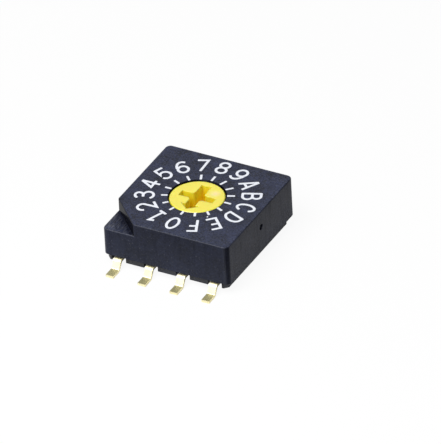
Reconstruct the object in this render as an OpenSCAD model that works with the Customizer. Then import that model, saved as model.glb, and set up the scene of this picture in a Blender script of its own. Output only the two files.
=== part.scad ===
// Surface-mount rotary coded switch, 16 positions, 10 mm square.
// Z = 0 is the board plane that the terminal feet rest on. The rotor turns about the Z axis,
// and its arrow points to -Y in the position shown. The four code terminals stand along -Y.
// All sizes are in millimetres.

/* [Housing] */
// Outer width of the housing, in X and in Y
body_w = 10; // [9.8:0.05:10.4]
// Height of the housing's top face above the board
body_h = 4.05; // [3.9:0.01:4.3]
// Height of the housing's lower edge above the board
skirt_z = 0.93; // [0.91:0.01:1]
// Radius of the four upright corners
corner_r = 0.4; // [0.3:0.05:0.6]
// Radius of the rounded edges round the top face and the ledge
edge_r = 0.1; // [0.05:0.01:0.12]
// Thickness of the side walls round the base
wall_t = 0.8; // [0.7:0.05:0.85]
// Thickness of the roof over the detent wheel
roof_t = 0.9; // [0.8:0.05:1]
// Length of the corner notch along each side
notch_w = 2.55; // [2:0.05:2.7]
// Depth of the corner notch below the top face
notch_depth = 1; // [0.6:0.05:1.1]
// Radius of the upright edges where the notch meets the outer walls
notch_edge_r = 0.15; // [0.13:0.01:0.3]
// Width of the round gate mark on the right-hand wall
gate_mark_d = 0.46; // [0.3:0.02:0.6]
// Depth of the gate mark
gate_mark_depth = 0.3; // [0.05:0.01:0.35]

/* [Rotor] */
// Diameter of the rotor's head in the top face
head_d = 4; // [3.8:0.05:4.1]
// Radial gap between the head and its hole
head_gap = 0.1; // [0.06:0.01:0.12]
// How far the head lies below the top face
head_sink = 0.05; // [0:0.01:0.1]
// Radius of the head's rounded rim
head_edge_r = 0.1; // [0.05:0.01:0.15]
// Depth of the driver slot
slot_depth = 1.35; // [0.5:0.05:1.4]
// Width of the slot's shaft, which runs front to back
slot_w = 0.76; // [0.6:0.02:0.9]
// Width of the slot's cross arms
cross_w = 0.6; // [0.5:0.02:0.8]
// Reach of the slot's tail from the centre
tail_reach = 1.46; // [1.2:0.02:1.6]
// Reach of the arrow's tip from the centre
arrow_reach = 1.64; // [1.4:0.02:1.7]
// Reach of each cross arm from the centre
cross_reach = 1.34; // [1.1:0.01:1.5]
// Width of the arrow head
arrow_w = 1.48; // [1.2:0.02:1.6]
// Length of the arrow head
arrow_len = 0.58; // [0.5:0.02:0.8]
// Radius of the slot's outward corners
slot_corner_r = 0.22; // [0.05:0.01:0.3]
// Diameter of the pivot pin under the rotor
pin_d = 1.2; // [1:0.05:1.3]
// Radial running clearance of the pivot pin
pin_gap = 0.04; // [0.02:0.01:0.08]

/* [Detent] */
// Outer diameter of the rotor's detent wheel
wheel_d = 7; // [6.8:0.05:7.1]
// Thickness of the detent wheel
wheel_t = 0.7; // [0.6:0.05:0.75]
// Depth of the valleys in the detent wheel
valley_depth = 0.2; // [0.12:0.02:0.22]
// Radius of each valley
valley_r = 0.6; // [0.5:0.05:0.65]
// Thickness of the click spring's strip
spring_t = 0.12; // [0.1:0.01:0.14]
// Height of the click spring's strip
spring_h = 0.56; // [0.4:0.02:0.6]

/* [Code disc and terminals] */
// Thickness of the code disc
disc_t = 0.15; // [0.1:0.01:0.2]
// Outer diameter of the code disc
disc_d = 6.4; // [6.3:0.05:6.5]
// Width of the windows in the code disc
window_w = 0.27; // [0.2:0.01:0.3]
// Thickness of the terminal metal
metal_t = 0.2; // [0.15:0.01:0.2]
// Width of each terminal outside the base
terminal_w = 0.6; // [0.5:0.02:0.7]
// Distance over the tips of the front and rear feet
feet_span = 12.76; // [12.6:0.02:13.4]
// Length of the flat part of each foot
foot_len = 0.9; // [0.8:0.02:1.1]
// Width of each contact finger
finger_w = 0.36; // [0.3:0.02:0.4]
// Rising angle of each contact finger
finger_slope = 35; // [33:1:38]

/* [Base] */
// Height of the base's underside above the board
base_z = 0.49; // [0.48:0.01:0.55]
// Width of the base's visible band in X
band_w = 9.6; // [9.5:0.05:9.7]
// Length of the base's visible band in Y
band_l = 9.8; // [9.6:0.05:9.85]
// Chamfer of the band's two front corners
front_chamfer = 0.3; // [0.2:0.05:0.4]
// Chamfer of the band's two rear corners
rear_chamfer = 0.8; // [0.5:0.05:0.9]
// Width of the cut-out in the band at each terminal
cutout_w = 1.1; // [1:0.02:1.2]
// Depth of each cut-out, from the band's face inwards
cutout_depth = 0.65; // [0.6:0.01:0.7]
// Thickness of the epoxy seal in the base's underside
seal_t = 0.1; // [0.08:0.01:0.12]

/* [Hidden] */
$fn = 48;
POSITIONS = 16;
STEP_ANGLE = 360 / POSITIONS;
CORNER_FN = 24;
BEND_STEPS = 5;
SPRING_STEP_ANGLE = 3;
PITCH = 2.54;

// Overlap of shapes that are joined, and how far a cutting shape reaches past what it cuts
EPS = 0.01;
OVER = 1;

// Small gap between pieces that slide or are pushed together
fit_gap = 0.05;

// Head, wheel and disc levels, from the top down
head_z = body_h - head_sink;
roof_z = body_h - roof_t;
wheel_top = roof_z - fit_gap;
wheel_bottom = wheel_top - wheel_t;
disc_z = wheel_bottom - disc_t;
pin_z = skirt_z;

// Level of the ledge in the notch, and the plastic left under it
ledge_z = body_h - notch_depth;
ledge_t = 1;

// Place of the gate mark: off the middle of the wall, and below the top face
gate_mark_y = 0.04;
gate_mark_drop = 1.26;

// The round chamber for the wheel and the click spring, and the square pocket for the base
chamber_r = 4.15;
pocket_w = body_w - 2 * wall_t;
pocket_top = ledge_z - ledge_t;

// Seal ring round the head, in a counterbore under the roof
ring_section_r = 0.26;
ring_gap = 0.03;
ring_seat_r = head_d / 2 + 2 * (ring_section_r + ring_gap);
ring_seat_top = roof_z + 2 * ring_section_r + ring_gap;

// Key that stops the click spring from turning with the rotor
key_w = 0.7;
key_gap = 0.25;
key_r = wheel_d / 2 + key_gap;
key_root = 0.2;

// The click spring's gap at the key, its middle line, and its noses in the wheel's valleys
spring_gap_angle = 9;
spring_r = chamber_r - fit_gap - spring_t / 2;
nose_gap = 0.02;
nose_r = wheel_d / 2 - valley_depth + nose_gap + spring_t / 2;
nose_half_angle = 16;
NOSES = [0, 180];

// Base levels and the room for the contact fingers, under a ring that the wheel rests on
floor_z = 0.82;
base_top = wheel_bottom - fit_gap;
finger_room_w = 7;
finger_room_r = 1.5;
rest_ring_r = 3.3;
boss_r = 0.9;
boss_top = 1.5;
seal_inset = 0.3;

// Terminal levels and bends
lead_z = floor_z - metal_t / 2;
bend_r = 0.22;
heel_y = feet_span / 2 - foot_len;
knee_gap = 0.09;
knee_y = body_w / 2 + knee_gap;
lead_l = 0.3;
lead_in_y = band_l / 2 - cutout_depth - lead_l;
contact_gap = 0.01;
nose_bend_r = 0.3;
nose_fall = 0.3;
nose_z = disc_z - contact_gap - metal_t / 2 - nose_bend_r + nose_bend_r / cos(finger_slope);
jog_l = 0.5;

// One row per code terminal: bit, X of its foot, X of its finger, radius of its track
CODE = [
    [1, -1.5 * PITCH, -2.6, 2.9],
    [2, -0.5 * PITCH, -0.5 * PITCH, 2],
    [4, 0.5 * PITCH, 0.5 * PITCH, 1.55],
    [8, 1.5 * PITCH, 2.25, 2.45],
];
COMMON_TRACK_R = 1.1;

// ---- helpers ----

function unit(v) = v / norm(v);
function left_of(v) = [-v[1], v[0]];
function reversed(list) = [for (i = [len(list) - 1:-1:0]) list[i]];

// Signed angle by which a path turns at its point i
function turn_at(path, i) =
    let (into = unit(path[i] - path[i - 1]), out = unit(path[i + 1] - path[i]))
    atan2(cross(into, out), into * out);

// Points along one side of a bent strip, round the bend at point i; side is 1 or -1
function bend_points(path, i, side, radius) =
    let (
        into = unit(path[i] - path[i - 1]),
        turn = turn_at(path, i),
        inner = left_of(into) * sign(turn),
        centre = path[i] - into * radius * tan(abs(turn) / 2) + inner * radius,
        r = radius - side * sign(turn) * metal_t / 2,
        start = atan2(-inner[1], -inner[0])
    )
    [for (k = [0:BEND_STEPS])
        centre + r * [cos(start + turn * k / BEND_STEPS), sin(start + turn * k / BEND_STEPS)]];

// One side of a strip of metal bent along a path
function strip_side(path, side, radius) =
    let (
        last = len(path) - 1,
        at_start = left_of(unit(path[1] - path[0])),
        at_end = left_of(unit(path[last] - path[last - 1]))
    )
    concat(
        [path[0] + at_start * side * metal_t / 2],
        [for (i = [1:last - 1]) each bend_points(path, i, side, radius)],
        [path[last] + at_end * side * metal_t / 2]
    );

// A strip of metal of the given width, bent along a path of [y, z] points
module strip(path, width, radius) {
    rotate([90, 0, 90])
        linear_extrude(width, center = true)
            polygon(concat(strip_side(path, 1, radius), reversed(strip_side(path, -1, radius))));
}

// Half profile of an upright corner post of the housing, with its rounded top edge
function post_profile(radius, top) = concat(
    [[0, skirt_z], [radius, skirt_z]],
    [for (a = [0:30:90]) [radius - edge_r * (1 - cos(a)), top - edge_r * (1 - sin(a))]],
    [[0, top]]
);

// A plate with its four upright edges rounded
module rounded_plate(width, height, radius) {
    linear_extrude(height) {
        square([width, width - 2 * radius], center = true);
        square([width - 2 * radius, width], center = true);
        for (x = [-1, 1], y = [-1, 1])
            translate([x, y] * (width / 2 - radius)) circle(radius);
    }
}

// ---- housing ----

// Upright round post at [x, y], from the housing's lower edge to the given top
module post(place, radius, top) {
    translate([place[0], place[1], 0])
        rotate_extrude($fn = CORNER_FN) polygon(post_profile(radius, top));
}

// The whole square up to the ledge
module ledge_block() {
    side = body_w / 2 - corner_r;
    hull()
        for (x = [-side, side], y = [-side, side])
            post([x, y], corner_r, ledge_z);
}

// The full height, without the front left corner
module tall_block() {
    side = body_w / 2 - corner_r;
    near = body_w / 2 - notch_edge_r;
    far = body_w / 2 - notch_w - notch_edge_r * tan(22.5);
    hull() {
        for (place = [[side, side], [-side, side], [side, -side]])
            post(place, corner_r, body_h);
        post([-near, -far], notch_edge_r, body_h);
        post([-far, -near], notch_edge_r, body_h);
    }
}

// Everything that is hollow inside the housing
module housing_cavity() {
    translate([0, 0, skirt_z - OVER])
        rounded_plate(pocket_w, pocket_top - skirt_z + OVER, corner_r);
    translate([0, 0, skirt_z]) cylinder(h = roof_z - skirt_z, r = chamber_r);
    translate([0, 0, skirt_z]) cylinder(h = ring_seat_top - skirt_z, r = ring_seat_r);
    translate([0, 0, skirt_z]) cylinder(h = body_h, r = head_d / 2 + head_gap);
}

module spring_key() {
    translate([-key_w / 2, key_r, wheel_bottom])
        cube([key_w, chamber_r + key_root - key_r, roof_z - wheel_bottom + key_root]);
}

// Round dent left by the moulding gate
module gate_mark() {
    ball_r = (pow(gate_mark_d / 2, 2) + pow(gate_mark_depth, 2)) / (2 * gate_mark_depth);
    translate([body_w / 2 + ball_r - gate_mark_depth, gate_mark_y, body_h - gate_mark_drop])
        sphere(ball_r);
}

module housing() {
    color([0.13, 0.14, 0.18]) {
        difference() {
            union() {
                ledge_block();
                tall_block();
            }
            housing_cavity();
            gate_mark();
        }
        spring_key();
    }
}

// ---- rotor ----

// Rounds the slot's outward corner that points away from the origin of this shape
module corner_relief() {
    difference() {
        square(slot_corner_r);
        translate([slot_corner_r, slot_corner_r]) circle(slot_corner_r);
    }
}

module slot_outline() {
    arrow_back = arrow_len - arrow_reach;
    translate([-slot_w / 2, arrow_back]) square([slot_w, tail_reach - arrow_back]);
    square([2 * cross_reach, cross_w], center = true);
    polygon([[-arrow_w / 2, arrow_back], [0, -arrow_reach], [arrow_w / 2, arrow_back]]);
    for (x = [0, 1], y = [0, 1])
        mirror([x, 0]) mirror([0, y]) translate([slot_w, cross_w] / 2) corner_relief();
}

module head() {
    head_h = head_z - wheel_top;
    translate([0, 0, wheel_top])
        rotate_extrude() {
            square([head_d / 2, head_h - head_edge_r]);
            square([head_d / 2 - head_edge_r, head_h]);
            intersection() {
                translate([head_d / 2 - head_edge_r, head_h - head_edge_r]) circle(head_edge_r);
                square([head_d, head_h]);
            }
        }
}

// Detent wheel with one valley for each position
module wheel() {
    difference() {
        translate([0, 0, wheel_bottom]) cylinder(h = wheel_t, d = wheel_d);
        for (i = [0:POSITIONS - 1])
            rotate(i * STEP_ANGLE)
                translate([wheel_d / 2 - valley_depth + valley_r, 0, wheel_bottom - OVER])
                    cylinder(h = wheel_t + 2 * OVER, r = valley_r);
    }
}

module rotor() {
    color([0.97, 0.9, 0.32])
        difference() {
            union() {
                head();
                wheel();
                translate([0, 0, disc_z]) cylinder(h = disc_t, d = disc_d);
                translate([0, 0, pin_z]) cylinder(h = wheel_bottom - pin_z, d = pin_d);
            }
            translate([0, 0, head_z - slot_depth]) linear_extrude(slot_depth + OVER) slot_outline();
            disc_plate();
        }
}

// ---- code disc ----

// Y of a code finger's contact point, on the front half of its track
function contact_y(row) = -sqrt(pow(row[3], 2) - pow(row[2], 2));

// Windows of one track: open where the terminal's bit is 0
module track_windows(row) {
    span = STEP_ANGLE * row[0];
    finger_angle = atan2(contact_y(row), row[2]);
    for (i = [0:POSITIONS / 2 / row[0] - 1])
        rotate(finger_angle - STEP_ANGLE / 2 + 2 * i * span)
            rotate_extrude(angle = span)
                translate([row[3] - window_w / 2, disc_z - OVER])
                    square([window_w, disc_t + 2 * OVER]);
}

module disc_plate() {
    difference() {
        translate([0, 0, disc_z]) cylinder(h = disc_t, d = disc_d);
        translate([0, 0, disc_z - OVER]) cylinder(h = disc_t + 2 * OVER, d = pin_d);
        for (row = CODE) track_windows(row);
    }
}

module code_disc() {
    color([0.85, 0.68, 0.32]) disc_plate();
}

// ---- seal ring and click spring ----

module o_ring() {
    color([0.12, 0.12, 0.12])
        translate([0, 0, roof_z + ring_section_r])
            rotate_extrude()
                translate([head_d / 2 + ring_gap + ring_section_r, 0]) circle(ring_section_r);
}

// Radius of the click spring's middle line, with an inward nose at each angle in NOSES
function spring_line(a) =
    spring_r - (spring_r - nose_r) * max([for (n = NOSES)
        abs(a - n) < nose_half_angle ? pow(cos(90 * (a - n) / nose_half_angle), 2) : 0]);

function spring_side(offset) =
    [for (a = [90 + spring_gap_angle - 360:SPRING_STEP_ANGLE:90 - spring_gap_angle])
        let (around = a < -90 ? a + 360 : a)
        (spring_line(around) + offset) * [cos(a), sin(a)]];

module click_spring() {
    color([0.75, 0.76, 0.78])
        translate([0, 0, (wheel_top + wheel_bottom - spring_h) / 2])
            linear_extrude(spring_h)
                polygon(concat(spring_side(spring_t / 2), reversed(spring_side(-spring_t / 2))));
}

// ---- terminals ----

// Outer end of a terminal: foot, heel, knee and the lead that enters the base
module tail(x) {
    path = [
        [-feet_span / 2, metal_t / 2], [-heel_y, metal_t / 2],
        [-knee_y, lead_z], [-lead_in_y, lead_z],
    ];
    translate([x, 0, 0]) strip(path, terminal_w, bend_r);
}

// Spring finger that rises from the base's floor to touch the code disc at y
module finger(x, y) {
    root_y = y - (nose_z - lead_z) / tan(finger_slope);
    path = [
        [-lead_in_y - jog_l / 2, lead_z], [root_y, lead_z],
        [y, nose_z], [y + nose_fall, nose_z - nose_fall * tan(finger_slope)],
    ];
    translate([x, 0, 0]) strip(path, finger_w, nose_bend_r);
}

// Flat link in the base's floor between a tail and its finger
module jog(from_x, to_x) {
    left = min(from_x - terminal_w / 2, to_x - finger_w / 2);
    right = max(from_x + terminal_w / 2, to_x + finger_w / 2);
    translate([left, -lead_in_y - jog_l / 2, lead_z - metal_t / 2])
        cube([right - left, jog_l, metal_t]);
}

module terminal_metal(foot_x, finger_x, y) {
    tail(foot_x);
    jog(foot_x, finger_x);
    finger(finger_x, y);
}

module code_metal(row) {
    terminal_metal(row[1], row[2], contact_y(row));
}

module common_metal() {
    mirror([0, 1, 0]) terminal_metal(0, 0, -COMMON_TRACK_R);
}

module terminal(row) {
    color([0.88, 0.83, 0.62]) code_metal(row);
}

module terminal_common() {
    color([0.88, 0.83, 0.62]) common_metal();
}

// ---- base ----

module band_outline() {
    w = band_w / 2;
    l = band_l / 2;
    polygon([
        [-w, front_chamfer - l], [front_chamfer - w, -l], [w - front_chamfer, -l], [w, front_chamfer - l],
        [w, l - rear_chamfer], [w - rear_chamfer, l], [rear_chamfer - w, l], [-w, l - rear_chamfer],
    ]);
}

module terminal_cutout(x) {
    translate([x - cutout_w / 2, -band_l / 2 - OVER, base_z - OVER])
        cube([cutout_w, cutout_depth + OVER, skirt_z - base_z + OVER]);
}

module seal_plate() {
    translate([0, 0, base_z]) rounded_plate(pocket_w - 2 * seal_inset, seal_t, corner_r);
}

module base_block() {
    translate([0, 0, base_z]) linear_extrude(skirt_z - base_z) band_outline();
    translate([0, 0, skirt_z - EPS])
        rounded_plate(pocket_w - 2 * fit_gap, pocket_top - fit_gap - skirt_z + EPS, corner_r);
    translate([0, 0, skirt_z]) cylinder(h = base_top - skirt_z, r = chamber_r - fit_gap);
}

module base() {
    color([0.11, 0.11, 0.13])
        difference() {
            union() {
                difference() {
                    base_block();
                    translate([0, 0, floor_z])
                        rounded_plate(finger_room_w, pocket_top - fit_gap - floor_z, finger_room_r);
                    translate([0, 0, floor_z]) cylinder(h = base_top, r = rest_ring_r);
                }
                translate([0, 0, floor_z - EPS]) cylinder(h = boss_top - floor_z + EPS, r = boss_r);
            }
            translate([0, 0, pin_z - fit_gap]) cylinder(h = boss_top, r = pin_d / 2 + pin_gap);
            for (row = CODE) {
                terminal_cutout(row[1]);
                code_metal(row);
            }
            mirror([0, 1, 0]) terminal_cutout(0);
            common_metal();
            seal_plate();
        }
}

module epoxy_seal() {
    color([0.2, 0.18, 0.16]) seal_plate();
}

housing();
rotor();
o_ring();
click_spring();
code_disc();
base();
epoxy_seal();
terminal(CODE[0]);  // terminal_1
terminal(CODE[1]);  // terminal_2
terminal(CODE[2]);  // terminal_4
terminal(CODE[3]);  // terminal_8
terminal_common();
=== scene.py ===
import math

import bmesh
import bpy
from bpy.props import FloatProperty, FloatVectorProperty, PointerProperty
from mathutils import Matrix, Vector


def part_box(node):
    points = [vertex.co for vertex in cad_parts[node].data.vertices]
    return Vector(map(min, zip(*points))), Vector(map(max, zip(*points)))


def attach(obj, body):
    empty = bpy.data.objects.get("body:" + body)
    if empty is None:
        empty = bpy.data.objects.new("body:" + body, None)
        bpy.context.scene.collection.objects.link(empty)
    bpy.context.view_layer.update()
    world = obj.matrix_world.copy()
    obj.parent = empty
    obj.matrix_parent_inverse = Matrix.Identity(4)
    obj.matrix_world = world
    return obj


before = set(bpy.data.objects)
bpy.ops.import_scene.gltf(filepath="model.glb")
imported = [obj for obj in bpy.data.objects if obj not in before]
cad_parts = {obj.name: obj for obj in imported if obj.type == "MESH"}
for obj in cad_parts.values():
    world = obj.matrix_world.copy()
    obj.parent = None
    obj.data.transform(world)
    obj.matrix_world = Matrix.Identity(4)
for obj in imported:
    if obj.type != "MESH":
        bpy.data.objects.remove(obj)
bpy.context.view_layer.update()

bl_info = {
    "name": "Rotary coded switch",
    "version": (1, 0, 0),
    "blender": (4, 5, 0),
    "location": "3D View > Sidebar > Rotary switch",
    "description": "Finishes, dial print and stage for a surface-mount rotary coded switch",
    "category": "Object",
}

MM = 0.001
POSITIONS = 16
TERMINALS = [name for name in sorted(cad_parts) if name.startswith("terminal_")]

# Height of the housing's top face, in metres
TOP_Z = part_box("housing")[1].z


# ---- places on the solids, in millimetres ----

# Height of the rotor's face, and half the housing's width
HEAD_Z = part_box("rotor")[1].z / MM
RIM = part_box("housing")[1].x / MM

# Height of the ledge in the notch, and distance of the notch's wall from the rotor's axis
LEDGE_Z = 3.05
NOTCH_WALL = 5.268

# Middle of the sink mark in the rotor's face, a slight dent with a painted highlight on it
SINK_AND_HIGHLIGHT_MIDDLE = (0.97, 0.85, TOP_Z / MM)

# Ends and width of the stray fleck of ink on the top face
FLECK = ((1.87, -2.0), (1.89, -2.05), 0.1)

# Each pair below says where a finish sets in and where it is full. The first two are heights above
# the ledge: the first tells the notch's wall, and the second tells the ledge itself
ABOVE_LEDGE = (0, 0.02)
ON_LEDGE = (0.15, 0.05)

# Heights at which painted shade darkens the housing's walls
UPPER_WALLS = (1.0, 3.9)

# Distances of the scuffed rim from the top's edges
SCUFFED_RIM = (0.14, 0.04)

# Distances of the painted shadow on the ledge from the notch's wall
LEDGE_SHADOW_STRIP = (1.0, 0.1)

# Depths at which painted shade deepens the colour in the rotor's slot
SLOT_SHADE = (0.2, 0.9)

# Distances of the sink mark and its painted highlight from their middle
SINK_AND_HIGHLIGHT_REACH = (0.5, 0.05)

# Heights that tell the feet's tops from the rest of a terminal
FOOT_HEIGHTS = (0.4, 0.3)


# ---- directions ----

def level(degrees):
    """Level direction, turned by an angle from the front towards the right."""
    return math.sin(math.radians(degrees)), -math.cos(math.radians(degrees)), 0


UP = (0, 0, 1)
NOTCH_DIRECTION = level(-45)

# Directions of faces and rounded edges, each with the cosines at which its mask sets in and is
# full. The front edge's mask places a painted highlight. The front right corner has two, for the
# painted highlight line where it starts and for the painted dark band in its middle
UPWARD = (UP, 0.7, 0.95)
FLAT_UPWARD = (UP, 0.9, 0.98)
NOTCH_FACING = (NOTCH_DIRECTION, 0.93, 0.97)
FRONT_EDGE = ((0, -math.sqrt(0.5), math.sqrt(0.5)), 0.85, 0.97)
CORNER_LINE = (level(17), 0.984, 0.99)
CORNER = (level(48), 0.84, 0.93)

# Direction of the key lamp from the switch, and the point that the camera looks at, in metres
LAMP_DIRECTION = Vector((-0.1, -0.52, 0.85))
AIM = Vector((1.402, 0.647, 1.840)) * MM


# ---- settings ----

def length(name, description, default):
    """A length, in metres."""
    return FloatProperty(
        name=name, description=description, default=default, unit="LENGTH", precision=6)


def angle(name, description, degrees):
    """An angle, given in degrees and kept in radians."""
    return FloatProperty(
        name=name, description=description, default=math.radians(degrees), subtype="ANGLE")


def colour(name, description, default):
    """A colour of three channels."""
    return FloatVectorProperty(
        name=name, description=description, default=default, subtype="COLOR", size=3, min=0, max=1)


def ratio(name, description, default):
    """A number from 0 to 1."""
    return FloatProperty(
        name=name, description=description, default=default, subtype="FACTOR", min=0, max=1)


class SwitchPlastics(bpy.types.PropertyGroup):
    """Colours and surface of the moulded pieces."""
    housing: colour("Housing", "Colour of the housing's plastic", (0.017, 0.0215, 0.047))
    walls: colour("Housing walls", "Colour that the smoother walls lean to", (0.031, 0.034, 0.049))
    base: colour("Base", "Colour of the base's plastic", (0.012, 0.013, 0.02))
    rotor: colour("Rotor", "Colour of the rotor's plastic", (0.9, 0.79, 0.035))
    # Painted shade: the darker orange deep in the slot stands in for shade and bounced light
    slot: colour("Rotor slot", "Colour of the rotor's plastic deep in its slot", (0.82, 0.6, 0.0))
    # Painted highlight: the pale colour blended into the sink mark in place of a reflection
    sink_and_highlight: colour("Sink mark", "Colour of the pale mark in the rotor's face", (1.0, 0.82, 0.62))
    grain: length("Grain", "Size of the mould's fine texture", 0.1 * MM)
    housing_roughness: ratio("Housing roughness", "Roughness of the textured faces", 0.27)
    base_roughness: ratio("Base roughness", "Roughness of the base", 0.5)
    rotor_roughness: ratio("Rotor roughness", "Roughness of the rotor", 0.38)


class SwitchWearAndPaintedLight(bpy.types.PropertyGroup):
    """Colours and strengths of the wear marks, the painted highlights and the painted shade on the
    housing.
    """
    # Colour of the real scuffs, specks and scratches, and of the painted highlights
    scuff_and_highlight: colour("Scuffs", "Colour of scuffed plastic", (0.25, 0.26, 0.3))
    # Near-black matt colour of the painted shade, which the random streaks share
    dull_and_painted_shade: colour("Dull places", "Colour of the places without gloss", (0.003, 0.003, 0.006))
    specks: ratio("Specks", "Pale specks all over", 0.35)
    scratches: ratio("Scratches", "Pale scratches on the ledge", 0.25)
    rim: ratio("Rim", "Scuffs along the top's edges", 0.3)
    # Painted highlights: pale lines on the rounded front edge and where the front right corner
    # starts
    front_edge_highlight: ratio("Front edge", "Pale line along the top front edge", 0.2)
    corner_line_highlight: ratio("Corner line", "Pale line where the front right corner starts", 0.12)
    # Painted shade: a dark band down the front right corner's middle, in place of a dark reflection
    corner: ratio("Corner", "Dullness of the front right corner", 0.42)
    # Painted shade towards the top of the walls
    high: ratio("Upper walls", "Dullness of the walls at the top", 0.3)
    streaks: ratio("Streaks", "Dullness of the upright streaks on the walls", 0.18)
    # Painted shade on the notch's wall
    notch: ratio("Notch", "Dullness of the notch's wall", 0.36)
    # Painted shadow on the ledge beside the notch's wall
    notch_shadow_on_ledge: ratio("Beside the notch", "Dullness of the ledge at the notch's wall", 0.7)


class SwitchMetals(bpy.types.PropertyGroup):
    """Colours and surface of the terminals and the inner metal pieces."""
    plating: colour("Plating", "Colour of the thin plating on the terminals", (0.92, 0.86, 0.58))
    # Painted shade: colour of the feet's tops, darker in place of the dark housing that they mirror
    shaded_foot_tops: colour("Foot tops", "Colour of the dull tops of the feet", (0.4, 0.37, 0.19))
    contact: colour("Contacts", "Colour of the code disc's plating", (0.92, 0.7, 0.3))
    steel: colour("Steel", "Colour of the click spring", (0.6, 0.6, 0.62))
    plating_roughness: ratio("Plating roughness", "Roughness of the terminals", 0.43)
    contact_roughness: ratio("Contact roughness", "Roughness of the code disc", 0.25)


class SwitchPrint(bpy.types.PropertyGroup):
    """Sizes of the dial print on the top face."""
    ink: colour("Ink", "Colour of the print", (0.88, 0.91, 0.98))
    shift_x: length(
        "Shift to the right", "How far the print sits to the right of the rotor's axis", 0.02 * MM)
    shift_y: length(
        "Shift to the rear", "How far the print sits behind the rotor's axis", 0.085 * MM)
    ink_height: length("Ink height", "Thickness of the ink on the face", 0.012 * MM)
    stroke: length("Stroke", "Width of a character's lines", 0.19 * MM)
    char_width: length(
        "Character width", "Width between a character's outer line centres", 0.75 * MM)
    char_height: length(
        "Character height", "Height between a character's outer line centres", 1.31 * MM)
    baseline: length("Baseline", "Radius of the characters' lower line centres", 3.145 * MM)
    tick_inner: length("Tick start", "Distance of the ticks from the rotor's axis", 2.105 * MM)
    tick_outer: length("Tick end", "Radius of the ticks' outer ends", 2.57 * MM)
    tick_width: length("Tick width", "Width of a tick", 0.17 * MM)


class SwitchStage(bpy.types.PropertyGroup):
    """Floor, light and camera."""
    floor_size: length("Floor size", "Width of the floor", 160 * MM)
    floor_glow: ratio(
        "Floor glow", "Share of the floor's white that doesn't depend on the lamp", 0.93)
    reflected_glow: ratio("Reflected glow", "The same share of the floor in reflections", 0.05)
    daylight: FloatProperty(
        name="Daylight", description="Strength of the light from all round", default=0.18, min=0)
    lamp_distance: length("Lamp distance", "Distance of the key lamp from the switch", 150 * MM)
    lamp_size: length("Lamp size", "Width of the round key lamp", 120 * MM)
    lamp_power: FloatProperty(
        name="Lamp power", description="Power of the key lamp", default=0.25, min=0, unit="POWER")
    azimuth: angle("Azimuth", "Camera's turn round the switch from its front", 29.465)
    elevation: angle("Elevation", "Camera's height above the horizon", 33.947)
    roll: angle("Roll", "Camera's tilt about its own axis", -2.998)
    distance: length("Distance", "Camera's distance from the point it looks at", 878.24 * MM)
    lens: FloatProperty(
        name="Lens", description="Focal length of the camera", default=1010.65, min=50,
        unit="CAMERA")


# ---- shader maths ----

class Socket:
    """A shader node's output that takes part in Python expressions."""

    def __init__(self, shader, output):
        self.shader = shader
        self.output = output

    def __add__(self, other):
        return self.shader.math("ADD", self, other)

    def __sub__(self, other):
        return self.shader.math("SUBTRACT", self, other)

    def __rsub__(self, other):
        return self.shader.math("SUBTRACT", other, self)

    def __mul__(self, other):
        return self.shader.math("MULTIPLY", self, other)

    __radd__ = __add__
    __rmul__ = __mul__


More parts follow.
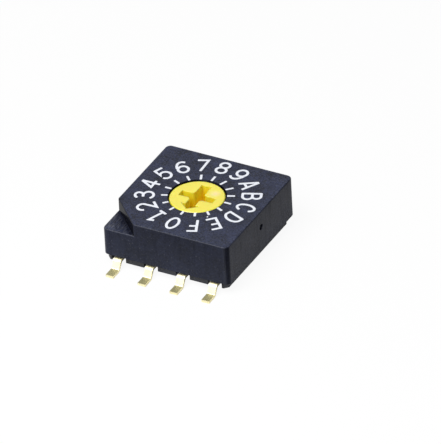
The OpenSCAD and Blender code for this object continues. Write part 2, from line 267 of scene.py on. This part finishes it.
class Shader:
    """A node tree that is built from expressions; the same class serves materials and the world."""

    def __init__(self, owner):
        owner.use_nodes = True
        self.owner = owner
        self.tree = owner.node_tree
        self.tree.nodes.clear()

    def node(self, kind, settings=None, **inputs):
        """Adds a node, sets its settings, then the values or links of its sockets."""
        node = self.tree.nodes.new("ShaderNode" + kind)
        for key, value in (settings or {}).items():
            setattr(node, key, value)
        for key, value in inputs.items():
            self.feed(self.find(node.inputs, key), value)
        return node

    @staticmethod
    def find(sockets, key):
        """A socket by its number, written in_0, or by its name with _ for a space."""
        if key.startswith("in_"):
            return sockets[int(key[3:])]
        return sockets[key.replace("_", " ")]

    def feed(self, socket, value):
        """Links an output to a socket, or sets the socket's value."""
        if isinstance(value, Socket):
            self.tree.links.new(value.output, socket)
        elif isinstance(value, bpy.types.NodeSocket):
            self.tree.links.new(value, socket)
        elif socket.type == "RGBA" and len(value) == 3:
            socket.default_value = (*value, 1.0)
        else:
            socket.default_value = value

    def output(self, kind, settings=None, **inputs):
        """First output of a new node."""
        return self.node(kind, settings, **inputs).outputs[0]

    def math(self, operation, first, second):
        """Puts two numbers through a Math node."""
        return Socket(self, self.output("Math", {"operation": operation}, in_0=first, in_1=second))

    def vectors(self, operation, **inputs):
        """Outputs of a Vector Math node, by their names Vector and Value."""
        return self.node("VectorMath", {"operation": operation}, **inputs).outputs

    def mix(self, factor, first, second):
        """Blends two colours."""
        node = self.node("Mix", {"data_type": "RGBA"}, in_0=factor, in_6=first, in_7=second)
        return Socket(self, node.outputs[2])

    def limits(self, value, start, full):
        """0 up to start, 1 from full on, and a straight line between; full may be the lower one."""
        return Socket(self, self.output("MapRange", Value=value, in_1=start, in_2=full))

    def limits_from(self, value, base, pair):
        """Limits that are given by their distances from a base value."""
        return self.limits(value, base + pair[0], base + pair[1])

    def place(self):
        """The piece's own coordinates, in millimetres."""
        coordinates = self.node("TexCoord").outputs["Object"]
        return self.vectors("SCALE", in_0=coordinates, Scale=1 / MM)["Vector"]

    def stretched(self, place, factors):
        """Coordinates scaled along each axis."""
        return self.vectors("MULTIPLY", in_0=place, in_1=factors)["Vector"]

    def height(self, place):
        """Height in the piece's own coordinates, in millimetres."""
        return Socket(self, self.node("SeparateXYZ", Vector=place).outputs["Z"])

    def spread(self, place):
        """Distance from the Z axis in X or in Y, whichever is larger, in millimetres."""
        sizes = self.vectors("ABSOLUTE", in_0=place)["Vector"]
        parts = self.node("SeparateXYZ", Vector=sizes).outputs
        return self.math("MAXIMUM", parts["X"], parts["Y"])

    def along(self, vector, direction):
        """How far a vector or a place reaches along a direction."""
        return Socket(self, self.vectors("DOT_PRODUCT", in_0=vector, in_1=direction)["Value"])

    def distance(self, place, point):
        """Distance from a point, in millimetres."""
        return Socket(self, self.vectors("DISTANCE", in_0=place, in_1=point)["Value"])

    def facing(self, direction, start, full):
        """Mask of the faces that point in a direction, 0 and 1 at the cosines start and full."""
        normal = self.node("TexCoord").outputs["Normal"]
        return self.limits(self.along(normal, direction), start, full)

    def noise(self, place, size, detail=2.0, roughness=0.5):
        """Noise whose blotches are about size millimetres across."""
        return Socket(self, self.output(
            "TexNoise", Vector=place, Scale=1 / size, Detail=detail, Roughness=roughness))

    def bump(self, height, depth, strength=1.0, edge=0.0):
        """Normals of a relief of a depth in metres, with edges that look rounded by a radius."""
        node = self.node("Bump", Height=height, Distance=depth, Strength=strength)
        if edge:
            self.feed(node.inputs["Normal"], self.output("Bevel", Radius=edge))
        return node.outputs[0]

    def rays(self):
        """Two masks: 1 for camera rays, and 1 for rays of reflections and refractions."""
        path = self.node("LightPath").outputs
        seen = Socket(self, path["Is Camera Ray"])
        reflected = Socket(self, path["Is Glossy Ray"]) + path["Is Transmission Ray"]
        return seen, reflected

    def blend(self, factor, first, second):
        """Blends two shaders."""
        return self.output("MixShader", in_0=factor, in_1=first, in_2=second)

    def close(self, surface, output="OutputMaterial"):
        """Sends a shader to the output and hands back the finished material or world."""
        self.feed(self.node(output).inputs["Surface"], surface)
        return self.owner

    def finish(self, **inputs):
        """Closes the tree with one surface shader."""
        return self.close(self.output("BsdfPrincipled", **inputs))


def new_shader(name):
    """Shader of a new material."""
    return Shader(bpy.data.materials.new(name))


def shaded(base, factor):
    """A colour made lighter or darker."""
    return tuple(channel * factor for channel in base)


# ---- materials ----

def mould_grain(s, place, base, grain):
    """Colour of dark plastic with mould grain and faint clouds, then the grain and the clouds."""
    texture = s.noise(place, grain / MM, detail=3.0, roughness=0.6)
    broad = s.noise(place, 1.4, detail=3.0)
    clouds = s.noise(place, 0.22, detail=4.0, roughness=0.7)
    tone = s.limits(broad * 0.25 + texture * 0.45 + clouds * 0.3, 0.4, 0.6)
    return s.mix(tone, shaded(base, 0.2), shaded(base, 1.8)), texture, clouds


# Depth of the mould's grain, as a share of its size, and how much of its relief the walls keep
GRAIN_DEPTH = 0.35
WALL_GRAIN = 0.08

# Near-black colour of the notch's polished wall, which is painted shade, and how far the wall leans
# back for its height, in reflections only
NOTCH_SHADE = (0.001, 0.001, 0.002)
NOTCH_LEAN = 0.17


def housing_plastic(look, wear_and_painted_light):
    """Dark plastic: grained top, scuffed edges, a polished wall in the notch, painted highlights on
    edges, and painted shade on walls, notch and ledge.
    """
    s = new_shader("housing_plastic")
    place = s.place()
    height = s.height(place)
    body, texture, clouds = mould_grain(s, place, look.housing, look.grain)

    # The housing's faces and rounded edges
    upward = s.facing(*UPWARD)
    wall = 1 - upward
    notch_wall = s.facing(*NOTCH_FACING) * s.limits_from(height, LEDGE_Z, ABOVE_LEDGE)
    ledge = upward * s.limits_from(height, LEDGE_Z, ON_LEDGE)
    rim = upward * s.limits(s.spread(place), RIM - SCUFFED_RIM[0], RIM - SCUFFED_RIM[1])
    front_edge_highlight = s.facing(*FRONT_EDGE)
    corner_line_highlight = s.facing(*CORNER_LINE)
    corner = s.facing(*CORNER)

    # Pale marks: real specks, scratches and scuffs, and painted highlights on the front edge and
    # along the start of the front right corner
    specks = s.limits(s.noise(place, 0.09, detail=1.0), 0.7, 0.76)
    scratches = s.limits(s.noise(s.stretched(place, (1.0, 0.15, 1.0)), 0.1), 0.52, 0.62)
    scuffs = s.limits(clouds * 0.5 + texture * 0.5, 0.53, 0.6)
    wear_and_highlights = (
        specks * wear_and_painted_light.specks
        + ledge * scratches * wear_and_painted_light.scratches
        + rim * scuffs * wear_and_painted_light.rim
        + front_edge_highlight * wear_and_painted_light.front_edge_highlight
        + corner_line_highlight * wear_and_painted_light.corner_line_highlight
    )

    # Painted shade, blended towards a near-black matt surface: high on the walls, on the notch's
    # wall, as a painted shadow on the ledge beside it and as a dark band in the front right corner.
    # The upright streaks blended the same way are random tone
    high = s.limits(height, *UPPER_WALLS) * wall * (1 - notch_wall)
    notch_shadow_on_ledge = ledge * s.limits_from(s.along(place, NOTCH_DIRECTION), NOTCH_WALL, LEDGE_SHADOW_STRIP)
    upright = s.noise(s.stretched(place, (1.0, 1.0, 0.12)), 0.3, detail=3.0)
    streaks = s.limits(upright, 0.5, 0.72) * wall
    painted_shade_and_streaks = (
        high * wear_and_painted_light.high
        + notch_wall * wear_and_painted_light.notch
        + notch_shadow_on_ledge * wear_and_painted_light.notch_shadow_on_ledge
        + corner * wear_and_painted_light.corner
        + streaks * wear_and_painted_light.streaks
    )

    moulded = s.mix(wall * 0.5, body, look.walls)
    grain_share = upward * (1 - WALL_GRAIN) + WALL_GRAIN
    relief = (texture + clouds * 0.4) * grain_share * (look.grain / MM * GRAIN_DEPTH)
    plastic = s.output(
        "BsdfPrincipled",
        # Painted shade: the notch's wall turns near-black
        Base_Color=s.mix(wear_and_highlights, s.mix(notch_wall * 0.8, moulded, NOTCH_SHADE), wear_and_painted_light.scuff_and_highlight),
        Roughness=look.housing_roughness - 0.06 + clouds * 0.14 - notch_wall * 0.12,
        Specular_IOR_Level=0.13,
        Normal=s.bump(relief - notch_wall * height * NOTCH_LEAN, MM),
    )
    # Near-black matt surface that carries the painted shade
    dull_and_painted_shade = s.output("BsdfDiffuse", Color=wear_and_painted_light.dull_and_painted_shade)
    return s.close(s.blend(painted_shade_and_streaks, plastic, dull_and_painted_shade))


def base_plastic(look):
    """Black plastic with the same mould grain."""
    s = new_shader("base_plastic")
    body, texture, clouds = mould_grain(s, s.place(), look.base, look.grain)
    return s.finish(
        Base_Color=body,
        Roughness=look.base_roughness - 0.06 + clouds * 0.14,
        Normal=s.bump(texture + clouds * 0.4, look.grain * GRAIN_DEPTH, 0.8),
    )


def rotor_plastic(look):
    """Yellow semi-gloss plastic, slightly translucent, with faint flow marks, painted shade deep in
    its slot, and a sink mark with a painted highlight.
    """
    s = new_shader("rotor_yellow_plastic")
    place = s.place()
    flow = s.noise(place, 0.9, detail=3.0)
    fine = s.noise(place, 0.06)
    surface = s.mix(s.limits(flow, 0.3, 0.7), shaded(look.rotor, 0.95), look.rotor)
    # Painted shade: the colour turns darker orange deeper in the slot
    deep = s.limits(s.height(place), HEAD_Z - SLOT_SHADE[0], HEAD_Z - SLOT_SHADE[1])
    # Painted highlight on the sink mark, which the bump also dents
    sink_and_highlight = s.limits(s.distance(place, SINK_AND_HIGHLIGHT_MIDDLE), *SINK_AND_HIGHLIGHT_REACH)
    return s.finish(
        Base_Color=s.mix(sink_and_highlight * 0.5, s.mix(deep, surface, look.slot), look.sink_and_highlight),
        Roughness=look.rotor_roughness - 0.05 + flow * 0.1,
        Normal=s.bump(fine + flow * 2.0 - sink_and_highlight * 6.0, 0.008 * MM, 0.35, edge=0.12 * MM),
        Specular_IOR_Level=0.8,
        Coat_Weight=0.8,
        Coat_Roughness=0.3,
        Subsurface_Weight=0.3,
        Subsurface_Radius=(1.0, 0.5, 0.05),
        Subsurface_Scale=0.4 * MM,
    )


def plated_metal(name, base, shaded_foot_tops, roughness):
    """Thinly plated copper alloy with clouds and slight tarnish, and painted shade on the feet's
    tops.
    """
    s = new_shader(name)
    place = s.place()
    clouds = s.noise(place, 0.5, detail=3.0)
    fine = s.noise(place, 0.05, detail=3.0, roughness=0.65)
    tarnish = s.limits(clouds * 0.7 + fine * 0.3, 0.38, 0.68)
    body = s.mix(tarnish, base, (base[0] * 0.92, base[1] * 0.88, base[2] * 0.75))
    # Painted shade: the feet's tops get a darker, less metallic colour in place of the dark housing
    # that they mirror
    shaded_foot_top = s.facing(*FLAT_UPWARD) * s.limits(s.height(place), *FOOT_HEIGHTS)
    return s.finish(
        Base_Color=s.mix(shaded_foot_top * 0.95, body, shaded_foot_tops),
        Metallic=0.87 - shaded_foot_top * 0.5,
        Roughness=roughness - 0.06 + clouds * 0.12,
        Normal=s.bump(fine, 0.002 * MM, 0.3),
    )


def spring_steel(base):
    """Bright rolled strip."""
    s = new_shader("spring_steel")
    fine = s.noise(s.place(), 0.08, detail=3.0)
    return s.finish(
        Base_Color=base,
        Metallic=1.0,
        Roughness=fine * 0.2 + 0.2,
        Normal=s.bump(fine, 0.004 * MM, 0.3),
    )


def seal_rubber():
    """Black rubber with a fine dull skin."""
    s = new_shader("seal_rubber")
    fine = s.noise(s.place(), 0.05)
    return s.finish(
        Base_Color=s.mix(fine, (0.012, 0.012, 0.013), (0.03, 0.03, 0.032)),
        Roughness=0.7,
        Normal=s.bump(fine, 0.006 * MM, 0.4),
    )


def potting_resin():
    """Dark resin that settled with a soft, slightly uneven surface."""
    s = new_shader("potting_resin")
    place = s.place()
    swell = s.noise(place, 1.8)
    fine = s.noise(place, 0.12)
    return s.finish(
        Base_Color=s.mix(swell, (0.018, 0.016, 0.014), (0.045, 0.04, 0.034)),
        Roughness=0.3 + fine * 0.15,
        Normal=s.bump(swell * 3.0 + fine * 0.2, 0.05 * MM, 0.6),
    )


def print_ink(base):
    """White pad-printed ink, a little uneven in cover."""
    s = new_shader("print_ink")
    cover = s.noise(s.place(), 0.12, detail=3.0, roughness=0.6)
    return s.finish(
        Base_Color=s.mix(s.limits(cover, 0.3, 0.55), shaded(base, 0.8), base),
        Roughness=0.5,
        Normal=s.bump(cover, 0.006 * MM, 0.4),
    )


# Colour of the white background, and of the floor where it is seen or reflected and for the light
# that it throws on matt faces
WHITE = (1, 1, 1)
FLOOR_SEEN = (0.95, 0.95, 0.95)
FLOOR_THROWN = (0.4, 0.4, 0.4)


def floor_white(look):
    """White floor with a faint shadow; only the light that it throws on the switch is dimmer."""
    s = new_shader("floor_white")
    seen, reflected = s.rays()
    share = seen * look.floor_glow + reflected * look.reflected_glow
    lit = s.output("BsdfDiffuse", Color=FLOOR_SEEN)
    glow = s.output("Emission", Color=WHITE, Strength=1.0)
    thrown = s.output("BsdfDiffuse", Color=FLOOR_THROWN)
    return s.close(s.blend(seen + reflected, thrown, s.blend(share, lit, glow)))


# ---- mesh helpers ----

def new_piece(name, mesh, body, material):
    """Puts a finished mesh into the scene as a piece of the switch."""
    piece = bpy.data.objects.new(name, mesh)
    bpy.context.scene.collection.objects.link(piece)
    mesh.materials.append(material)
    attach(piece, body)


def finish_node(name, material):
    """Gives a CAD node its material."""
    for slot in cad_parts[name].material_slots:
        slot.material = material


# Shape of a line's blunt ends: steps over the end, its length as a share of half the line's width,
# and how round it is, where 1 is an ellipse
CAP_STEPS = 8
CAP_LENGTH = 0.6
CAP_ROUND = 0.55

# Least cosine of a bend at which a line keeps its full width
BEND_LIMIT = 0.35


def bend(points, i):
    """Direction of a line at one of its points, and how much wider the line gets there."""
    into = (points[i] - points[i - 1]).normalized() if i else None
    out = (points[i + 1] - points[i]).normalized() if i < len(points) - 1 else None
    if into is None or out is None:
        return into or out, 1.0
    mean = (into + out).normalized()
    return mean, 1 / max(mean.dot(out), BEND_LIMIT)


def cap(centre, direction, half):
    """Outline of a line's blunt rounded end."""
    side = Vector((-direction.y, direction.x))
    outline = []
    for k in range(1, CAP_STEPS):
        turn = math.pi * k / CAP_STEPS
        across = math.copysign(abs(math.cos(turn)) ** CAP_ROUND, -math.cos(turn))
        out = math.sin(turn) ** CAP_ROUND
        outline.append(centre + side * across * half + direction * out * half * CAP_LENGTH)
    return outline


def ribbon(points, half):
    """Outline of a line of the given half width, and the inner outline too where it is a ring."""
    left, right = [], []
    for i, point in enumerate(points):
        direction, stretch = bend(points, i)
        side = Vector((-direction.y, direction.x)) * half * stretch
        left.append(point + side)
        right.append(point - side)
    closed = (points[0] - points[-1]).length < half * 0.01
    if closed:
        return left, right
    start = (points[0] - points[1]).normalized()
    end = (points[-1] - points[-2]).normalized()
    return right + cap(points[-1], end, half) + left[::-1] + cap(points[0], start, half), None


def slab(outline, hole, bottom, top):
    """Closed mesh between two heights, from an outline and, for a ring, its inner outline."""
    mesh = bmesh.new()

    def ring(points, z):
        return [mesh.verts.new((p.x, p.y, z)) for p in points]

    if hole is None:
        low, high = ring(outline, bottom), ring(outline, top)
        mesh.faces.new(high)
        mesh.faces.new(low[::-1])
        walls = [(low, high)]
    else:
        outline, hole = outline[:-1], hole[:-1]
        low, high = ring(outline, bottom), ring(outline, top)
        low_in, high_in = ring(hole, bottom), ring(hole, top)
        walls = [(low, high), (high_in, low_in), (high, high_in), (low_in, low)]
    for first, second in walls:
        for i in range(len(first)):
            j = (i + 1) % len(first)
            mesh.faces.new((first[i], first[j], second[j], second[i]))
    bmesh.ops.recalc_face_normals(mesh, faces=mesh.faces)
    return mesh


def merged(meshes, name):
    """One clean mesh from overlapping closed ones."""
    holders = []
    for part in meshes:
        data = bpy.data.meshes.new(name)
        part.to_mesh(data)
        part.free()
        holder = bpy.data.objects.new(name + "_part", data)
        bpy.context.scene.collection.objects.link(holder)
        holders.append(holder)
    first = holders[0]
    for other in holders[1:]:
        union = first.modifiers.new("union", "BOOLEAN")
        union.operation = "UNION"
        union.solver = "EXACT"
        union.object = other
    graph = bpy.context.evaluated_depsgraph_get()
    result = bpy.data.meshes.new_from_object(first.evaluated_get(graph))
    result.name = name
    for holder in holders:
        bpy.data.objects.remove(holder)
    return result


# ---- dial print ----

# Steps in a full turn of a character's curve
CURVE_STEPS = 48


def arc(cx, cy, rx, ry, start, end):
    """Points on an ellipse from one angle to another, in degrees."""
    count = max(2, round(abs(end - start) / 360 * CURVE_STEPS))
    turns = [math.radians(start + (end - start) * i / count) for i in range(count + 1)]
    return [(cx + rx * math.cos(turn), cy + ry * math.sin(turn)) for turn in turns]


def characters():
    """Lines of each character, in order round the dial. X and Y run from 0 to 1 over its box."""
    six = [
        arc(0.62, 0.46, 0.62, 0.54, 58, 178),
        arc(0.5, 0.3, 0.5, 0.3, 180, 540),
    ]
    return {
        "0": [arc(0.5, 0.5, 0.5, 0.5, 0, 360)],
        "1": [[(0.2, 0.86), (0.58, 1), (0.58, 0)], [(0.22, 0), (0.94, 0)]],
        "2": [arc(0.5, 0.7, 0.5, 0.3, 168, -30) + [(0.06, 0), (0.94, 0)]],
        "3": [arc(0.46, 0.78, 0.44, 0.22, 150, -90) + [(0.26, 0.56)],
              [(0.3, 0.56)] + arc(0.46, 0.28, 0.54, 0.28, 90, -152)],
        "4": [[(0.66, 0), (0.66, 1)], [(0.6, 1), (-0.04, 0.3), (1, 0.3)]],
        "5": [[(0.94, 1), (0.14, 1), (0.08, 0.5)] + arc(0.48, 0.32, 0.52, 0.32, 128, -150)],
        "6": six,
        "7": [[(0, 1), (0.98, 1), (0.34, 0)]],
        "8": [arc(0.5, 0.76, 0.46, 0.24, -90, 270), arc(0.5, 0.26, 0.5, 0.26, 90, 450)],
        "9": [[(1 - x, 1 - y) for x, y in line] for line in six],
        "A": [[(0, 0), (0.46, 1)], [(1, 0), (0.54, 1)], [(0.16, 0.28), (0.84, 0.28)]],
        "B": [[(0.06, 0), (0.06, 1)],
              [(0.06, 1)] + arc(0.56, 0.765, 0.36, 0.235, 90, -90) + [(0.06, 0.53)],
              [(0.06, 0.53)] + arc(0.56, 0.265, 0.44, 0.265, 90, -90) + [(0.06, 0)]],
        "C": [arc(0.52, 0.5, 0.52, 0.5, 36, 324)],
        "D": [[(0.04, 0), (0.04, 1)],
              [(0.04, 1)] + arc(0.42, 0.5, 0.58, 0.5, 90, -90) + [(0.04, 0)]],
        "E": [[(0.92, 1), (0.08, 1), (0.08, 0), (0.96, 0)], [(0.08, 0.54), (0.72, 0.54)]],
        "F": [[(0.96, 1), (0.14, 1), (0.14, 0)], [(0.14, 0.52), (0.78, 0.52)]],
    }


def dial_direction(index):
    """Direction of a dial position: 0 is at the front and the count runs clockwise."""
    turn = -math.pi / 2 - index * 2 * math.pi / POSITIONS
    return Vector((math.cos(turn), math.sin(turn)))


def dial_centre(look):
    """Middle of the print on the top face."""
    return Vector((look.shift_x, look.shift_y))


def ink_slab(points, width, look):
    """Closed mesh of one line of ink on the top face, with its underside sunk into the face."""
    outline, hole = ribbon(points, width / 2)
    return slab(outline, hole, TOP_Z - look.ink_height / 3, TOP_Z + look.ink_height)


def character_mesh(name, index, lines, look):
    """Mesh of one printed character at its place on the dial, its top outwards."""
    outwards = dial_direction(index)
    rightwards = Vector((outwards.y, -outwards.x))
    centre = dial_centre(look)
    parts = []
    for line in lines:
        points = [
            centre + rightwards * (x - 0.5) * look.char_width
            + outwards * (look.baseline + y * look.char_height)
            for x, y in line
        ]
        parts.append(ink_slab(points, look.stroke, look))
    return merged(parts, name)


def ticks(look):
    """Ends of the short radial line at each dial position, from the rotor's hole outwards."""
    centre = dial_centre(look)
    for index in range(POSITIONS):
        direction = dial_direction(index)
        along = centre.dot(direction)
        start = math.sqrt(along ** 2 - centre.length_squared + look.tick_inner ** 2) - along
        cap_length = look.tick_width / 2 * CAP_LENGTH
        yield [centre + direction * (start + cap_length), centre + direction * look.tick_outer]


def strokes_mesh(name, strokes, look):
    """One mesh of separate straight strokes of ink, each given as its two ends and its width."""
    whole = bmesh.new()
    for points, width in strokes:
        data = bpy.data.meshes.new("stroke")
        part = ink_slab(points, width, look)
        part.to_mesh(data)
        part.free()
        whole.from_mesh(data)
        bpy.data.meshes.remove(data)
    mesh = bpy.data.meshes.new(name)
    whole.to_mesh(mesh)
    whole.free()
    return mesh


# ---- operators ----

class SWITCH_OT_housing(bpy.types.Operator):
    """Finish the housing in dark textured plastic"""
    bl_idname = "switch.housing"
    bl_label = "Housing"

    def execute(self, context):
        scene = context.scene
        finish_node("housing", housing_plastic(scene.switch_plastics, scene.switch_wear))
        return {"FINISHED"}


class SWITCH_OT_base(bpy.types.Operator):
    """Finish the base and the resin that seals it"""
    bl_idname = "switch.base"
    bl_label = "Base"

    def execute(self, context):
        finish_node("base", base_plastic(context.scene.switch_plastics))
        finish_node("epoxy_seal", potting_resin())
        return {"FINISHED"}


class SWITCH_OT_rotor(bpy.types.Operator):
    """Finish the rotor in yellow plastic"""
    bl_idname = "switch.rotor"
    bl_label = "Rotor"

    def execute(self, context):
        finish_node("rotor", rotor_plastic(context.scene.switch_plastics))
        return {"FINISHED"}


class SWITCH_OT_terminals(bpy.types.Operator):
    """Finish the terminals in pale plating"""
    bl_idname = "switch.terminals"
    bl_label = "Terminals"

    def execute(self, context):
        look = context.scene.switch_metals
        material = plated_metal(
            "terminal_plating", look.plating, look.shaded_foot_tops, look.plating_roughness)
        for name in TERMINALS:
            finish_node(name, material)
        return {"FINISHED"}


class SWITCH_OT_inner_pieces(bpy.types.Operator):
    """Finish the code disc, the click spring and the seal ring inside the housing"""
    bl_idname = "switch.inner_pieces"
    bl_label = "Inner pieces"

    def execute(self, context):
        look = context.scene.switch_metals
        finish_node("code_disc", plated_metal(
            "contact_plating", look.contact, look.shaded_foot_tops, look.contact_roughness))
        finish_node("click_spring", spring_steel(look.steel))
        finish_node("o_ring", seal_rubber())
        return {"FINISHED"}


class SWITCH_OT_dial_ticks(bpy.types.Operator):
    """Print the short radial lines round the rotor, and a stray fleck of ink"""
    bl_idname = "switch.dial_ticks"
    bl_label = "Dial ticks"

    def execute(self, context):
        look = context.scene.switch_print
        material = print_ink(look.ink)
        start, end, width = FLECK
        lines = [(points, look.tick_width) for points in ticks(look)]
        fleck = [((Vector(start) * MM, Vector(end) * MM), width * MM)]
        for name, strokes in (("dial_ticks", lines), ("ink_fleck", fleck)):
            mesh = strokes_mesh(name, strokes, look)
            new_piece(name, mesh, "housing", material)
        return {"FINISHED"}


class SWITCH_OT_dial_characters(bpy.types.Operator):
    """Print the sixteen characters round the dial"""
    bl_idname = "switch.dial_characters"
    bl_label = "Dial characters"

    def execute(self, context):
        look = context.scene.switch_print
        material = bpy.data.materials["print_ink"]
        for index, (character, lines) in enumerate(characters().items()):
            mesh = character_mesh(f"character_{character}", index, lines, look)
            new_piece(f"dial_character_{character}", mesh, "housing", material)
        return {"FINISHED"}


class SWITCH_OT_stage(bpy.types.Operator):
    """Set the white floor, the light and the camera"""
    bl_idname = "switch.stage"
    bl_label = "Stage"

    def execute(self, context):
        look = context.scene.switch_stage
        self.floor(look)
        self.daylight(context, look)
        self.lamp(look)
        self.camera(context, look)
        context.scene.view_settings.view_transform = "Standard"
        return {"FINISHED"}

    @staticmethod
    def floor(look):
        """Level sheet under the feet."""
        mesh = bpy.data.meshes.new("floor")
        half = look.floor_size / 2
        corners = [(-half, -half, 0), (half, -half, 0), (half, half, 0), (-half, half, 0)]
        mesh.from_pydata(corners, [], [(0, 1, 2, 3)])
        floor = bpy.data.objects.new("floor", mesh)
        bpy.context.scene.collection.objects.link(floor)
        mesh.materials.append(floor_white(look))

    @staticmethod
    def daylight(context, look):
        """Even light from all round, with white behind the switch and in its reflections."""
        s = Shader(bpy.data.worlds.new("studio"))
        room = s.output("Background", Color=WHITE, Strength=look.daylight)
        white = s.output("Background", Color=WHITE, Strength=1.0)
        seen, reflected = s.rays()
        context.scene.world = s.close(s.blend(seen + reflected, room, white), "OutputWorld")

    @staticmethod
    def lamp(look):
        """Round soft lamp that shines at the switch from the upper front."""
        data = bpy.data.lights.new("key_lamp", "AREA")
        data.shape = "DISK"
        data.size = look.lamp_size
        data.energy = look.lamp_power
        lamp = bpy.data.objects.new("key_lamp", data)
        bpy.context.scene.collection.objects.link(lamp)
        lamp.location = LAMP_DIRECTION.normalized() * look.lamp_distance
        lamp.rotation_euler = lamp.location.to_track_quat("Z", "Y").to_euler()

    @staticmethod
    def camera(context, look):
        """Long lens that looks down on the switch from its front right."""
        a, e, r = look.azimuth, look.elevation, look.roll
        back = Vector((math.sin(a) * math.cos(e), -math.cos(a) * math.cos(e), math.sin(e)))
        right = Vector((math.cos(a), math.sin(a), 0))
        up = back.cross(right)
        tilted_right = right * math.cos(r) + up * math.sin(r)
        tilted_up = up * math.cos(r) - right * math.sin(r)
        data = bpy.data.cameras.new("camera")
        data.lens = look.lens
        data.sensor_width = 36
        data.clip_start = look.distance / 10
        data.clip_end = look.distance * 4
        camera = bpy.data.objects.new("camera", data)
        context.scene.collection.objects.link(camera)
        turn = Matrix((tilted_right, tilted_up, back)).transposed()
        camera.matrix_world = Matrix.Translation(AIM + back * look.distance) @ turn.to_4x4()
        context.scene.camera = camera


class SWITCH_PT_panel(bpy.types.Panel):
    """Lists the switch's operators"""
    bl_label = "Rotary switch"
    bl_space_type = "VIEW_3D"
    bl_region_type = "UI"
    bl_category = "Rotary switch"

    def draw(self, context):
        for operator in OPERATORS:
            self.layout.operator(operator.bl_idname)


SETTINGS = {
    "switch_plastics": SwitchPlastics,
    "switch_wear": SwitchWearAndPaintedLight,
    "switch_metals": SwitchMetals,
    "switch_print": SwitchPrint,
    "switch_stage": SwitchStage,
}
OPERATORS = [
    SWITCH_OT_housing,
    SWITCH_OT_base,
    SWITCH_OT_rotor,
    SWITCH_OT_terminals,
    SWITCH_OT_inner_pieces,
    SWITCH_OT_dial_ticks,
    SWITCH_OT_dial_characters,
    SWITCH_OT_stage,
]


def register():
    for cls in [*SETTINGS.values(), *OPERATORS, SWITCH_PT_panel]:
        bpy.utils.register_class(cls)
    for name, cls in SETTINGS.items():
        setattr(bpy.types.Scene, name, PointerProperty(type=cls))


def unregister():
    for name in SETTINGS:
        delattr(bpy.types.Scene, name)
    for cls in [SWITCH_PT_panel, *OPERATORS[::-1], *SETTINGS.values()]:
        bpy.utils.unregister_class(cls)


def main():
    register()
    bpy.ops.switch.housing()
    bpy.ops.switch.base()
    bpy.ops.switch.rotor()
    bpy.ops.switch.terminals()
    bpy.ops.switch.inner_pieces()
    bpy.ops.switch.dial_ticks()
    bpy.ops.switch.dial_characters()
    bpy.ops.switch.stage()


if __name__ == "__main__":
    main()
